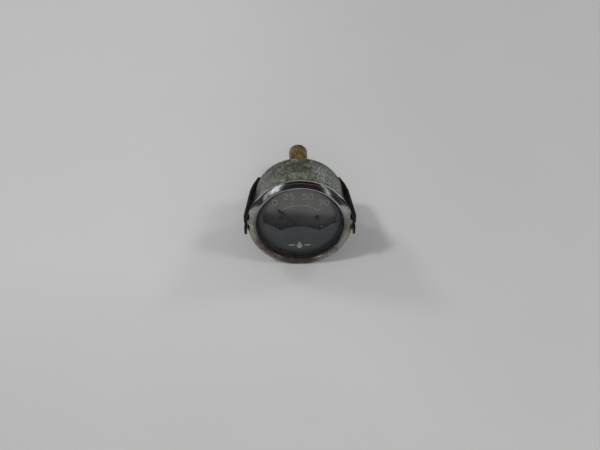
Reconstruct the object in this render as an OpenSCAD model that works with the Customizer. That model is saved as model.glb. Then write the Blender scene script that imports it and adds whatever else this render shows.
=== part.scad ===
// Oil pressure gauge for a round hole in an instrument panel.
// Origin: on the gauge's axis, in the plane of the bezel's rear face, which seats on the panel.
// +Y points rearwards into the panel, +Z up the dial, +X to the right as the dial is read.

/* [Case and bezel] */
// Outer diameter of the case, which passes through the panel
case_d = 52; // [50:0.5:54]
// Wall of the case
case_wall = 0.8; // [0.6:0.1:1]
// Distance from the panel seat to the back of the case
case_depth = 27.2; // [26:0.2:32]
// Radius of the case's rear corner
case_corner_r = 1.2; // [1:0.1:2]
// How far the bezel stands out past the case, all round
bezel_rim = 4; // [3.6:0.1:5]
// Wall of the bezel round the glass
bezel_wall = 1.5; // [1.1:0.1:2]
// Width of the bezel's front, from its rim to the edge of its lip
bezel_w = 4.9; // [4.4:0.1:5.4]
// How far the bezel stands in front of the panel
bezel_depth = 3.8; // [3.6:0.1:5]
// Thickness of the bezel's sheet metal
bezel_sheet = 0.6; // [0.4:0.05:0.8]

/* [Glass and dial] */
// Thickness of the glass
glass_t = 1.2; // [1:0.1:1.4]
// Thickness of the rubber ring behind the glass
gasket_t = 0.4; // [0.3:0.05:0.6]
// Depth of the black cone between the glass and the mask
shade_depth = 2.4; // [1.6:0.1:3]
// Width of the black cone
shade_w = 1.7; // [1.4:0.1:2.6]
// Thickness of the mask plate
mask_t = 0.5; // [0.4:0.05:0.8]
// Width of the mask's rim at the sides of its window
mask_rim = 2.2; // [1.9:0.1:2.4]
// Gap between the mask and the dial, in which the pointer swings
dial_gap = 2.7; // [2.6:0.1:3.4]
// Thickness of the dial plate
dial_t = 0.8; // [0.6:0.1:1]
// Thickness of the printed scale and figures
print_t = 0.08; // [0.06:0.01:0.12]
// Width of the printed lines
print_w = 0.45; // [0.35:0.05:0.6]
// Height of the printed figures
figure_h = 4.3; // [3.8:0.1:4.6]
// Radius of the scale's arc about the pointer's pivot
scale_r = 17.6; // [17:0.1:18]
// Half of the angle that the scale spans
scale_half_angle = 36.8; // [34:0.2:38]

/* [Pointer] */
// Distance of the pointer's pivot below the centre of the dial
pivot_drop = 9; // [8.6:0.1:9.4]
// Angle of the pointer left of straight up when it rests
pointer_rest_angle = 39.5; // [38.5:0.1:40.5]
// Angle through which the pointer swings from peg to peg
pointer_swing = 76.5; // [76:0.1:77]
// How far the pointer's tip reaches past the scale's arc
pointer_reach = 2.4; // [0.8:0.2:2.8]
// Width of the pointer at its hub
pointer_w = 3.6; // [3:0.1:4.2]
// Width of the pointer at its tip
pointer_tip_w = 1.2; // [0.8:0.1:1.6]
// Thickness of the pointer's blade
pointer_t = 0.4; // [0.3:0.05:0.5]
// Diameter of the pointer's hub
hub_d = 4.8; // [4:0.2:5.4]
// Diameter of the two stop pegs
peg_d = 2.6; // [2:0.1:2.8]
// How far the stop pegs stand inside the scale's arc
peg_inset = 4; // [3.4:0.1:4.4]
// Clear space between the pointer and the peg that stops it
stop_gap = 0.3; // [0.25:0.05:0.4]

/* [Movement] */
// Thickness of each movement plate
plate_t = 0.8; // [0.7:0.05:1]
// Clear distance between the two movement plates
plate_gap = 5.9; // [5.8:0.1:6.4]
// Clear space between the movement plates and the pressure tube
plate_margin = 2.7; // [2:0.1:3]
// Gap between the dial and the front movement plate
dial_post_len = 1.3; // [1:0.1:1.6]
// Module of the gear teeth
gear_module = 0.5; // [0.48:0.01:0.5]
// Thickness of the sector
sector_t = 1.5; // [1.2:0.1:1.6]
// Direction from the pointer's pivot to the sector's pivot, above the horizontal
sector_direction = 65; // [63:0.5:67]
// Length of the sector's tail from its pivot to the link's pin
tail_len = 6; // [5.8:0.1:6.2]
// Direction of the sector's tail below the horizontal
tail_angle = 16; // [14:0.5:18]
// Distance between the link's two pins
link_len = 7.3; // [7:0.1:7.5]
// Diameter of the link's pins
link_pin_d = 1.2; // [1:0.05:1.3]
// Diameter of the sector's arbor
arbor_d = 2; // [1.8:0.1:2.2]
// Diameter of the pivots that turn in the movement plates
pivot_d = 1; // [0.8:0.05:1.1]
// Number of turns of the hairspring
hairspring_turns = 4; // [3:1:5]
// Thickness of the hairspring's strip
hairspring_t = 0.2; // [0.15:0.05:0.25]

/* [Pressure tube] */
// Clear space between the pressure tube and the case's wall
tube_gap = 4; // [3.6:0.1:4.4]
// Thickness of the flattened tube
tube_t = 2.2; // [2:0.1:2.4]
// Width of the flattened tube, along the gauge's axis
tube_w = 7; // [6.4:0.2:7.2]
// Wall of the tube
tube_wall = 0.35; // [0.25:0.05:0.45]
// Angle from the tube's root to its tip
tube_angle = 264; // [262:1:265]
// Width of the brass block that carries the tube and the movement
block_w = 12; // [11:0.5:13]

/* [Stem and clamp] */
// Diameter over the stem's thread
thread_d = 12; // [11.6:0.1:12.4]
// Pitch of the stem's thread
thread_pitch = 1.25; // [1:0.05:1.5]
// Length of thread behind the clamp nut
thread_spare = 8.7; // [8:0.1:12]
// Depth of the step from the thread's crest to the plain spigot
spigot_step = 0.15; // [0.1:0.05:0.4]
// Length of the plain spigot at the stem's end
spigot_len = 21.5; // [16:0.5:28]
// Diameter of the oil bore
oil_bore_d = 4; // [3:0.2:5]
// Length of the oil bore, up to the narrower passage
oil_bore_len = 25; // [15:1:30]
// Diameter of the mouth of the bore's cone
cone_mouth_d = 7; // [6:0.2:8]
// Thickness of the case washer
case_washer_t = 1; // [0.8:0.1:1.2]
// Width across the flats of the case nut
case_nut_af = 17; // [16.6:0.2:18]
// Thickness of the case nut
case_nut_t = 4.6; // [4:0.2:5]
// Clear space between the case nut and the clamp
bridge_gap = 2.1; // [1:0.1:4]
// Thickness of the clamp's strip
strap_t = 1.5; // [1.2:0.1:1.6]
// Width of the clamp round its stem hole
bridge_w = 22; // [19:0.5:24]
// Width of the clamp's legs
leg_w = 11.5; // [10:0.5:13]
// Clear space between the bezel's rim and each leg
leg_gap = 0.5; // [0.4:0.1:2]
// How far the legs reach in front of the panel seat
leg_reach = 4.4; // [3:0.2:5]
// Width of the notch in each leg's end
notch_w = 4.4; // [3:0.2:6]
// Depth of the notch in each leg's end
notch_depth = 5.4; // [4:0.2:7]
// Thickness of the clamp's spring washer
spring_washer_t = 1.4; // [1.2:0.1:1.8]
// Width across the flats of the clamp nut
clamp_nut_af = 19; // [18:0.5:20]
// Thickness of the clamp nut
clamp_nut_t = 6; // [5:0.5:6.5]

/* [Hidden] */

// Clearances of the fits
slip = 0.3;
press = 0.02;
running = 0.04;
seat_gap = 0.05;
fine = 96;

// Depths along the axis, from the glass back to the movement
lip_back = -bezel_depth + bezel_sheet + 0.2;
glass_back = lip_back + glass_t;
gasket_back = glass_back + gasket_t;
flange_back = gasket_back + case_wall;
shade_back = glass_back + shade_depth;
mask_back = shade_back + mask_t;
dial_face = mask_back + dial_gap;
dial_back = dial_face + dial_t;
front_plate_face = dial_back + dial_post_len;
front_plate_back = front_plate_face + plate_t;
rear_plate_face = front_plate_back + plate_gap;
rear_plate_back = rear_plate_face + plate_t;
case_inner_back = case_depth - case_wall;

// Radii of the stack inside the case
case_r = case_d / 2;
case_in_r = case_r - case_wall;
ring_r = case_in_r - slip;
view_r = ring_r - shade_w;
bezel_r = case_r + bezel_rim;
lip_r = bezel_r - bezel_w;
cavity_r = bezel_r - bezel_wall;
flange_r = cavity_r - 2 * seat_gap;
glass_r = cavity_r - slip;
tube_r = case_in_r - tube_gap - tube_t / 2;
plate_r = tube_r - tube_t / 2 - plate_margin;
peg_r = scale_r - peg_inset;
pointer_len = scale_r + pointer_reach;
tip_slant = 0.5;
pointer_taper = atan((pointer_w - pointer_tip_w) / 2 / (pointer_len - tip_slant));
peg_turn = asin((pointer_w / 2 * cos(pointer_taper) + peg_d / 2 + stop_gap) / peg_r) - pointer_taper;
left_peg_angle = pointer_rest_angle + peg_turn;
right_peg_angle = pointer_swing - pointer_rest_angle + peg_turn;

// Teeth on the pinion, and on the whole wheel of which the sector is a part
pinion_teeth = 12;
sector_teeth = 60;

// Places in the plane of the dial, as [right, up]
pivot = [0, -pivot_drop];
gear_centres = gear_module * (pinion_teeth + sector_teeth) / 2;
sector_pivot = pivot + gear_centres * [cos(sector_direction), sin(sector_direction)];
tail_end = sector_pivot + tail_len * [cos(tail_angle), -sin(tail_angle)];
link_foot = tail_end - link_len * [sin(tail_angle), cos(tail_angle)];
pillar_inset = 1.9;
pillar_place_r = plate_r - pillar_inset;
pillar_places = [for (a = [-27.3, 207.3, 119.6]) pillar_place_r * [cos(a), sin(a)]];
dial_screw_places = [pillar_places[0], pillar_places[1]];
block_screw_x = 3.6;
block_screw_places = [[-block_screw_x, 3.2], [block_screw_x, -pillar_place_r]];
peg_places = [on_dial(peg_r, -left_peg_angle), on_dial(peg_r, right_peg_angle)];

// Small screws: radius of the shank and of the head, and thickness of the head
screw_r = 0.9;
screw_head_r = 1.6;
screw_head_t = 0.9;

// Pillars between the movement plates, and the third one's rivet
pillar_r = 1.7;
rivet_r = 1;

// Hairspring, from its collet to the stud that holds its outer end
hairspring_inner_r = 1.75;
hairspring_outer_r = 4.65;
hairspring_end = 170;
stud_r = 0.5;
stud_reach = hairspring_outer_r + hairspring_t / 2 + stud_r + press;
stud_place = pivot + stud_reach * [cos(hairspring_end), sin(hairspring_end)];

// Depths of the pieces between the movement plates
sector_face = front_plate_back + 0.7;
sector_back = sector_face + sector_t;
pinion_t = sector_t + 0.4;
link_t = 0.7;
link_face = sector_back + slip;
link_back = link_face + link_t;
lug_t = 1.2;
lug_face = link_back + slip;
lug_back = lug_face + lug_t;
hairspring_w = 0.8;
hairspring_face = rear_plate_face - 2.1;
tube_face = front_plate_back - 0.2;
tube_back = tube_face + tube_w;
tube_middle = (tube_face + tube_back) / 2;
tube_root_direction = -96;
tube_tip_direction = tube_root_direction - tube_angle + 360;
pointer_back = dial_face - 1;
pointer_face = pointer_back - pointer_t;
hub_face = pointer_face - 0.7;
hub_back = pointer_back + 0.5;

// Depths behind the case
case_washer_back = case_depth + case_washer_t;
case_nut_back = case_washer_back + case_nut_t;
bridge_front = case_nut_back + bridge_gap;
bridge_back = bridge_front + strap_t;
spring_washer_back = bridge_back + spring_washer_t;
clamp_nut_back = spring_washer_back + clamp_nut_t;
thread_end = clamp_nut_back + thread_spare;
stem_end = thread_end + spigot_len;
thread_r = thread_d / 2;
thread_depth = 0.61 * thread_pitch;
spigot_r = thread_r - spigot_step;
nut_bore_r = thread_r + running;

// Places of the stem's inner end and the block
block_back = case_inner_back - gasket_t;
block_top = 9.4;
block_rim = 2.2;
block_bottom = -(tube_r + tube_t / 2 + block_rim);
block_lug_top = -(tube_r - tube_t / 2 - 0.8 * block_rim);
block_lug_w = 9;
stem_inner_len = 6;
stem_shank_r = 4;
stem_inner_end = block_back - stem_inner_len;
passage_r = 1.2;

// A turned piece from [radius, depth] points
module turned(profile) {
    rotate([-90, 0, 0])
        rotate_extrude($fn = fine)
            polygon(profile);
}

// A flat piece cut to the outline of its children, from one depth to another
module flat(front, back) {
    translate([0, back, 0])
        rotate([90, 0, 0])
            linear_extrude(back - front)
                children();
}

// A round bar or disc along the gauge's axis
module bar(r, front, back, at = [0, 0]) {
    flat(front, back)
        translate(at)
            circle(r, $fn = 48);
}

// A washer or tube along the gauge's axis
module ring(r_out, r_in, front, back) {
    difference() {
        bar(r_out, front, back);
        bar(r_in, front - 1, back + 1);
    }
}

// A hexagonal nut with a bore
module hex_nut(af, front, back, chamfer = 0.7) {
    across_corners_r = af / sqrt(3);
    difference() {
        intersection() {
            flat(front, back)
                circle(across_corners_r, $fn = 6);
            turned([[0, front], [across_corners_r - chamfer, front], [across_corners_r, front + chamfer / 2],
                [across_corners_r, back - chamfer / 2], [across_corners_r - chamfer, back], [0, back]]);
        }
        bar(nut_bore_r, front - 1, back + 1);
        turned([[0, front - 1], [nut_bore_r + 1.5, front - 1], [nut_bore_r, front + 0.5], [0, front + 0.5]]);
        turned([[0, back - 0.5], [nut_bore_r, back - 0.5], [nut_bore_r + 1.5, back + 1], [0, back + 1]]);
    }
}

// A slotted cheese-head screw: its head at one depth and its shank along +Y or -Y
module slotted_screw(at, seat, shank_len, towards) {
    head_end = seat - towards * screw_head_t;
    shank_end = seat + towards * shank_len;
    slot_w = 0.35 * screw_head_r;
    slot_depth = 0.45 * screw_head_t;
    difference() {
        bar(screw_head_r, min(seat, head_end), max(seat, head_end), at);
        translate([at[0], head_end, at[1]])
            cube([2 * screw_head_r + 1, 2 * slot_depth, slot_w], center = true);
    }
    bar(screw_r, min(seat, shank_end), max(seat, shank_end), at);
}

// Points on a circle's arc
function arc(centre, r, from, to, steps) =
    [for (i = [0 : steps]) centre + r * [cos(from + (to - from) * i / steps), sin(from + (to - from) * i / steps)]];

// A point at a radius and an angle right of straight up, about the pointer's pivot
function on_dial(r, angle) = pivot + r * [sin(angle), cos(angle)];

// Chromed ring that holds the glass and is rolled over behind the case's flange
module bezel() {
    front = -bezel_depth;
    rolled_r = case_r + slip + seat_gap;
    crest_r = lip_r + 0.65;
    flank_r = bezel_r - 0.8;
    rim_y = front + 1.75;
    color([0.78, 0.77, 0.75])
        turned([[rolled_r, 0], [cavity_r - 0.1, 0], [cavity_r + 0.45, flange_back], [bezel_r - 0.1, rim_y + 0.25],
            [bezel_r, rim_y], [bezel_r - 0.1, rim_y - 0.25], [bezel_r - 0.35, rim_y - 0.45],
            [flank_r, rim_y - 0.67], [crest_r + 0.95, front + 0.18], [crest_r + 0.4, front + 0.045],
            [crest_r, front], [crest_r - 0.25, front + 0.06], [lip_r + 0.2, front + 0.25],
            [lip_r + 0.03, lip_back - 0.35], [lip_r, lip_back],
            [cavity_r, lip_back], [cavity_r, flange_back], [rolled_r, flange_back]]);
}

// Flat glass
module glass() {
    edge = 0.15;
    color([0.8, 0.86, 0.86, 0.35])
        turned([[0, lip_back], [glass_r - edge, lip_back], [glass_r, lip_back + edge],
            [glass_r, glass_back - edge], [glass_r - edge, glass_back], [0, glass_back]]);
}

// Rubber ring between the glass and the case's flange
module glass_gasket() {
    color([0.08, 0.08, 0.08])
        ring(glass_r - 0.1, case_in_r + 0.2, glass_back, gasket_back);
}

// Black cone that hides the edge of the dial
module shade_ring() {
    front_r = ring_r - 0.4;
    color([0.06, 0.06, 0.07])
        turned([[ring_r, glass_back], [ring_r, shade_back], [view_r, shade_back], [view_r, shade_back - 0.4],
            [front_r, glass_back]]);
}

// Outline of the window that the mask leaves over the scale
module mask_window() {
    hump_top = -0.183 * view_r;
    hump_r = 0.953 * view_r;
    cusp = view_r * [0.483, -0.315];
    side = view_r * [1.056, -0.026];
    side_r = 1.12 * view_r;
    corner = 1.3 * view_r;
    hump_half = asin(cusp[0] / hump_r);
    chord = side - cusp;
    half_chord = norm(chord) / 2;
    window_lift = 0.6 * mask_rim;
    lift = sqrt(side_r * side_r - half_chord * half_chord);
    side_centre = (cusp + side) / 2 + lift * [chord[1], -chord[0]] / norm(chord);
    cusp_angle = atan2(cusp[1] - side_centre[1], cusp[0] - side_centre[0]);
    side_angle = atan2(side[1] - side_centre[1], side[0] - side_centre[0]);
    hump = arc([0, hump_top - hump_r], hump_r, 90 + hump_half, 90 - hump_half, 20);
    right = arc(side_centre, side_r, cusp_angle, side_angle, 8);
    left = [for (i = [8 : -1 : 1]) [-right[i][0], right[i][1]]];
    intersection() {
        translate([0, window_lift])
            circle(view_r - mask_rim, $fn = fine);
        polygon(concat(left, hump, [for (i = [1 : 8]) right[i]], [[corner, corner], [-corner, corner]]));
    }
}

// Plate that covers the lower dial, with a rim all round and a moustache-shaped upper edge
module dial_mask() {
    color([0.2, 0.21, 0.22])
        flat(shade_back, mask_back)
            difference() {
                circle(ring_r, $fn = fine);
                mask_window();
            }
}

// Oil drop between two dashes, printed on the mask
module mask_symbol() {
    drop_r = 1.6;
    drop_len = 3.6;
    symbol_z = -0.8 * view_r;
    tangent = acos(drop_r / drop_len);
    dash_at = [4.6, 0.7];
    dash = [3.8, 0.75];
    color([0.62, 0.62, 0.62])
        flat(shade_back - print_t, shade_back)
            translate([0, symbol_z]) {
                polygon(concat([[0, drop_len]], arc([0, 0], drop_r, 90 + tangent, 450 - tangent, 16)));
                for (side = [-1, 1])
                    translate([side * dash_at[0], dash_at[1]])
                        square(dash, center = true);
            }
}

// Black spacer that sets the gap between the mask and the dial
module dial_spacer() {
    color([0.07, 0.07, 0.07])
        ring(ring_r, view_r + 0.4, mask_back, dial_face);
}

// Charcoal dial, drilled for the arbor, the pegs and the screws
module dial_plate() {
    color([0.22, 0.22, 0.22])
        flat(dial_face, dial_back)
            difference() {
                circle(ring_r, $fn = fine);
                translate(pivot)
                    circle(arbor_d / 2 + slip, $fn = 32);
                for (p = peg_places)
                    translate(p)
                        circle(peg_d / 3 + press, $fn = 32);
                for (p = dial_screw_places)
                    translate(p)
                        circle(screw_r + 0.2, $fn = 32);
            }
}

// Arc with four ticks
module dial_scale() {
    tick_angle = 14.2;
    tick_len = 2.4;
    color([0.62, 0.62, 0.6])
        flat(dial_face - print_t, dial_face) {
            difference() {
                intersection() {
                    translate(pivot)
                        circle(scale_r + print_w / 2, $fn = fine);
                    polygon([pivot, on_dial(40, -scale_half_angle), on_dial(40, scale_half_angle)]);
                }
                translate(pivot)
                    circle(scale_r - print_w / 2, $fn = fine);
            }
            for (a = [-scale_half_angle, -tick_angle, tick_angle, scale_half_angle])
                translate(pivot)
                    rotate(-a)
                        translate([-print_w / 2, scale_r - print_w / 2])
                            square([print_w, tick_len]);
        }
}

// A straight stroke of a figure, with square ends
module stroke(a, b) {
    run = b - a;
    translate(a)
        rotate(atan2(run[1], run[0]))
            translate([0, -print_w * 0.6])
                square([norm(run), print_w * 1.2]);
}

// A curved stroke of a figure
module bow(centre, r, from, to) {
    w = print_w * 0.6;
    polygon(concat(arc(centre, r + w, from, to, 12), arc(centre, r - w, to, from, 12)));
}

// Figures drawn in strokes, each centred on its middle
module figure_0(h) {
    r = 0.29 * h;
    straight = h / 2 - r - print_w * 0.6;
    bow([0, straight], r, 0, 180);
    bow([0, -straight], r, 180, 360);
    stroke([r, -straight], [r, straight]);
    stroke([-r, -straight], [-r, straight]);
}

module figure_2(h) {
    r = 0.27 * h;
    top = h / 2 - r - print_w * 0.6;
    foot = -h / 2 + print_w * 0.6;
    bow([0, top], r, -40, 170);
    stroke([r * cos(-40), top + r * sin(-40)], [-r, foot]);
    stroke([-r - print_w / 2, foot], [r + print_w / 2, foot]);
}

module figure_5(h) {
    r = 0.29 * h;
    foot = -h / 2 + r + print_w * 0.6;
    top = h / 2 - print_w * 0.6;
    bow([0, foot], r, -140, 125);
    stroke([r * cos(125), foot + r * sin(125)], [-r * 0.7, top]);
    stroke([-r * 0.8, top], [r * 0.95, top]);
}

module figure_7(h) {
    half = 0.3 * h;
    top = h / 2 - print_w * 0.6;
    stroke([-half, top], [half, top]);
    stroke([half, top], [-half * 0.35, -h / 2]);
}

// Figures 0, 25, 50 and 70 above the arc
module dial_figures() {
    pair = 0.4 * figure_h;
    angles = [-36.3, -14.9, 10.3, 35];
    lifts = [1.56, 1.61, 1.51, 1.42] * figure_h;
    places = [for (i = [0 : 3]) on_dial(scale_r + lifts[i], angles[i])];
    color([0.62, 0.62, 0.6])
        flat(dial_face - print_t, dial_face) {
            translate(places[0])
                figure_0(figure_h);
            translate(places[1]) {
                translate([-pair, 0])
                    figure_2(figure_h);
                translate([pair, 0])
                    figure_5(figure_h);
            }
            translate(places[2]) {
                translate([-pair, 0])
                    figure_5(figure_h);
                translate([pair, 0])
                    figure_0(figure_h);
            }
            translate(places[3]) {
                translate([-pair, 0])
                    figure_7(figure_h);
                translate([pair, 0])
                    figure_0(figure_h);
            }
        }
}

// Screws that hold the dial on the movement
module dial_screws() {
    color([0.55, 0.54, 0.5])
        for (p = dial_screw_places)
            slotted_screw(p, dial_face, dial_t + dial_post_len + plate_t + 1.2, 1);
}

// Black pegs that stop the pointer, riveted through the dial
module stop_pegs() {
    peg_face = pointer_face - 0.3;
    color([0.1, 0.1, 0.1])
        for (p = peg_places) {
            bar(peg_d / 2, peg_face, dial_face, p);
            bar(peg_d / 3, dial_face, dial_back, p);
        }
}

// Tapered pointer with its pressed hub
module pointer() {
    tail = 5;
    bore_r = pivot_d / 2 + press;
    color([0.3, 0.07, 0.09])
        difference() {
            union() {
                flat(pointer_face, pointer_back)
                    translate(pivot)
                        rotate(pointer_rest_angle)
                            polygon([[-pointer_w / 2, 0], [-pointer_w * 0.36, -tail], [pointer_w * 0.36, -tail],
                                [pointer_w / 2, 0], [pointer_tip_w / 2, pointer_len - tip_slant], [0, pointer_len],
                                [-pointer_tip_w / 2, pointer_len - tip_slant]]);
                bar(hub_d / 2, hub_face, hub_back, pivot);
            }
            bar(bore_r, hub_face - 1, hub_back + 1, pivot);
        }
}

// Steel arbor that carries the pointer and the pinion
module pointer_arbor() {
    color([0.6, 0.6, 0.62]) {
        bar(pivot_d / 2, hub_face + 0.2, front_plate_back + 0.1, pivot);
        bar(arbor_d / 2, front_plate_back + 0.1, rear_plate_face - 0.1, pivot);
        bar(pivot_d / 2, rear_plate_face - 0.1, rear_plate_back, pivot);
    }
}

// Involute of a base circle, as an angle in degrees at a radius
function involute_angle(base_r, r) = let (t = acos(base_r / r)) tan(t) * 180 / PI - t;

// Half of a tooth's angle at a radius, in degrees
function half_tooth(teeth, r, thinning) =
    let (pitch_r = gear_module * teeth / 2, base_r = pitch_r * cos(20), safe_r = max(r, base_r))
        90 / teeth - thinning / pitch_r * 180 / PI
            + involute_angle(base_r, pitch_r) - involute_angle(base_r, safe_r);

// Radii at which a tooth's flank has points
function flank_radii(teeth) =
    let (pitch_r = gear_module * teeth / 2, tip_r = pitch_r + 0.8 * gear_module)
        let (foot_r = max(pitch_r * cos(20), pitch_r - 0.7 * gear_module))
            [for (i = [0 : 5]) foot_r + (tip_r - foot_r) * i / 5];

// One tooth that stands at an angle in degrees, reaching down to the root
module tooth(teeth, at) {
    thinning = 0.04;
    pitch_r = gear_module * teeth / 2;
    root_r = pitch_r - 1.15 * gear_module;
    radii = flank_radii(teeth);
    foot = half_tooth(teeth, radii[0], thinning);
    polygon(concat(
        [root_r * 0.98 * [cos(at - foot), sin(at - foot)]],
        [for (r = radii) r * [cos(at - half_tooth(teeth, r, thinning)), sin(at - half_tooth(teeth, r, thinning))]],
        [for (i = [5 : -1 : 0]) let (r = radii[i])
            r * [cos(at + half_tooth(teeth, r, thinning)), sin(at + half_tooth(teeth, r, thinning))]],
        [root_r * 0.98 * [cos(at + foot), sin(at + foot)]]));
}

// Pinion on the pointer's arbor, with a tooth space towards the sector
module drive_pinion() {
    tooth_step = 360 / pinion_teeth;
    root_r = gear_module * (pinion_teeth / 2 - 1.15);
    color([0.8, 0.66, 0.3])
        flat(sector_face - 0.2, sector_face - 0.2 + pinion_t)
            translate(pivot)
                difference() {
                    union() {
                        circle(root_r, $fn = 48);
                        for (i = [0 : pinion_teeth - 1])
                            tooth(pinion_teeth, sector_direction + (i + 0.5) * tooth_step);
                    }
                    circle(arbor_d / 2 + press, $fn = 48);
                }
}

// Toothed sector with the tail that the link pushes
module sector_gear() {
    tooth_step = 360 / sector_teeth;
    mesh_direction = sector_direction + 180;
    root_r = gear_module * (sector_teeth / 2 - 1.15);
    first = mesh_direction - 4.6 * tooth_step;
    last = mesh_direction + 1.6 * tooth_step;
    boss_r = 2.3;
    eye_r = 1.7;
    color([0.8, 0.66, 0.3])
        flat(sector_face, sector_back)
            translate(sector_pivot)
                difference() {
                    union() {
                        circle(boss_r, $fn = 48);
                        polygon(concat([boss_r * [cos(first - 40), sin(first - 40)]],
                            arc([0, 0], root_r, first, last, 12),
                            [boss_r * [cos(last + 40), sin(last + 40)]]));
                        for (i = [-4 : 1])
                            tooth(sector_teeth, mesh_direction + i * tooth_step);
                        rotate(-tail_angle) {
                            translate([0, -eye_r])
                                square([tail_len, 2 * eye_r]);
                            translate([tail_len, 0])
                                circle(eye_r, $fn = 48);
                        }
                    }
                    circle(arbor_d / 2 + press, $fn = 48);
                    rotate(-tail_angle)
                        translate([tail_len, 0])
                            circle(link_pin_d / 2 + press, $fn = 48);
                    polygon([for (corner = [[5.4, -12], [11.6, -17], [11.6, 1], [5.4, -4]])
                        corner[0] * [cos(mesh_direction + corner[1]), sin(mesh_direction + corner[1])]]);
                }
}

// Arbor of the sector, turning in both plates
module sector_arbor() {
    color([0.6, 0.6, 0.62]) {
        bar(pivot_d / 2, front_plate_face, front_plate_back + 0.1, sector_pivot);
        bar(arbor_d / 2, front_plate_back + 0.1, rear_plate_face - 0.1, sector_pivot);
        bar(pivot_d / 2, rear_plate_face - 0.1, rear_plate_back, sector_pivot);
    }
}

// Pin in the sector's tail
module sector_pin() {
    color([0.6, 0.6, 0.62])
        bar(link_pin_d / 2, sector_face, link_back + 0.2, tail_end);
}

// Link from the tube's tip to the sector, with a loose eye at the sector's pin
module link() {
    eye_r = 1.45;
    tight_r = link_pin_d / 2 + running;
    loose_r = link_pin_d / 2 + 0.2;
    color([0.72, 0.6, 0.3])
        flat(link_face, link_back)
            difference() {
                union() {
                    translate(link_foot)
                        circle(eye_r, $fn = 48);
                    translate(tail_end)
                        circle(eye_r, $fn = 48);
                    translate(link_foot)
                        rotate(-tail_angle)
                            translate([-0.8, 0])
                                square([1.6, link_len]);
                }
                translate(link_foot)
                    circle(tight_r, $fn = 48);
                translate(tail_end)
                    circle(loose_r, $fn = 48);
            }
}

// Brass block soldered on the tube's tip, with a lug that carries the link's pin
module tip_block() {
    eye_r = 1.5;
    rim = 0.7;
    block_len = 3;
    lug_root = tube_r - tube_t / 2 - rim + 0.3;
    color([0.75, 0.6, 0.28]) {
        flat(tube_face - rim, tube_back + rim)
            rotate(tube_tip_direction)
                translate([tube_r - tube_t / 2 - rim, -block_len])
                    square([tube_t + 2 * rim, block_len]);
        difference() {
            flat(lug_face, lug_back) {
                polygon([link_foot + [0, -eye_r], [lug_root, -block_len + 0.4], [lug_root, -0.2],
                    link_foot + [0, eye_r]]);
                translate(link_foot)
                    circle(eye_r, $fn = 48);
            }
            bar(link_pin_d / 2 + press, lug_face - 1, lug_back + 1, link_foot);
        }
    }
}

// Pin in the tip block's lug
module tip_pin() {
    color([0.6, 0.6, 0.62])
        bar(link_pin_d / 2, link_face - 0.2, lug_back, link_foot);
}

// Flattened outline with round ends, along the axis
module tube_outline(thick, wide) {
    square([thick, wide - thick], center = true);
    for (end = [-1, 1])
        translate([0, end * (wide - thick) / 2])
            circle(thick / 2, $fn = 32);
}

// Curved, flattened tube that uncurls under oil pressure
module bourdon_tube() {
    color([0.78, 0.6, 0.3])
        translate([0, tube_middle, 0])
            rotate([90, 0, 0])
                rotate(tube_tip_direction)
                    rotate_extrude(angle = tube_angle, $fn = fine)
                        translate([tube_r, 0])
                            difference() {
                                tube_outline(tube_t, tube_w);
                                tube_outline(tube_t - 2 * tube_wall, tube_w - 2 * tube_wall);
                            }
}

// Brass block that joins the tube, the movement and the stem
module socket_block() {
    lug_rim = 0.6;
    depth = block_back - rear_plate_back;
    drilling_depth = stem_inner_end - 3;
    pocket_angle = 36;
    color([0.72, 0.57, 0.28])
        difference() {
            union() {
                translate([-block_w / 2, rear_plate_back, block_bottom + lug_rim])
                    cube([block_w, depth, block_top - block_bottom - lug_rim]);
                translate([-block_lug_w / 2, tube_face - lug_rim, block_bottom])
                    cube([block_lug_w, rear_plate_back - tube_face + lug_rim, block_lug_top - block_bottom]);
                translate([-block_lug_w / 2, rear_plate_back, block_bottom])
                    cube([block_lug_w, depth, 1]);
            }
            translate([0, tube_middle, 0])
                rotate([90, 0, 0])
                    rotate(-90 - pocket_angle)
                        rotate_extrude(angle = pocket_angle, $fn = fine)
                            translate([tube_r, 0])
                                tube_outline(tube_t + 2 * press, tube_w + 2 * press);
            bar(stem_shank_r + press, stem_inner_end - slip, block_back + 1);
            bar(passage_r, drilling_depth - 1, block_back);
            translate([0, drilling_depth, -tube_r - 1.6])
                cylinder(r = passage_r, h = tube_r + 1.6, $fn = 32);
            bar(passage_r, tube_middle, drilling_depth + 1, [0, -tube_r]);
            for (p = block_screw_places)
                bar(screw_r + press, rear_plate_back - 1, rear_plate_back + 5, p);
        }
}

// Fibre washer between the block and the case's back
module block_gasket() {
    color([0.45, 0.2, 0.12])
        ring(2 * stem_shank_r, stem_shank_r + slip, block_back, case_inner_back);
}

// Front movement plate
module front_plate() {
    sight_hole = [-6, -1];
    sight_hole_r = 4.2;
    color([0.78, 0.64, 0.32])
        flat(front_plate_face, front_plate_back)
            difference() {
                circle(plate_r, $fn = fine);
                for (p = [pivot, sector_pivot])
                    translate(p)
                        circle(pivot_d / 2 + running, $fn = 48);
                for (p = dial_screw_places)
                    translate(p)
                        circle(screw_r + press, $fn = 32);
                translate(pillar_places[2])
                    circle(rivet_r + press, $fn = 32);
                translate(sight_hole)
                    circle(sight_hole_r, $fn = 48);
            }
}

// Rear movement plate, screwed to the block
module rear_plate() {
    scallop = plate_r * [0.86, -0.92];
    scallop_r = 0.43 * plate_r;
    color([0.78, 0.64, 0.32])
        flat(rear_plate_face, rear_plate_back)
            difference() {
                circle(plate_r, $fn = fine);
                for (p = [pivot, sector_pivot])
                    translate(p)
                        circle(pivot_d / 2 + running, $fn = 48);
                for (p = concat(pillar_places, block_screw_places))
                    translate(p)
                        circle(screw_r + press, $fn = 32);
                translate(stud_place)
                    circle(stud_r + press, $fn = 32);
                for (side = [-1, 1])
                    translate([side * scallop[0], scallop[1]])
                        circle(scallop_r, $fn = 48);
            }
}

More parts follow.
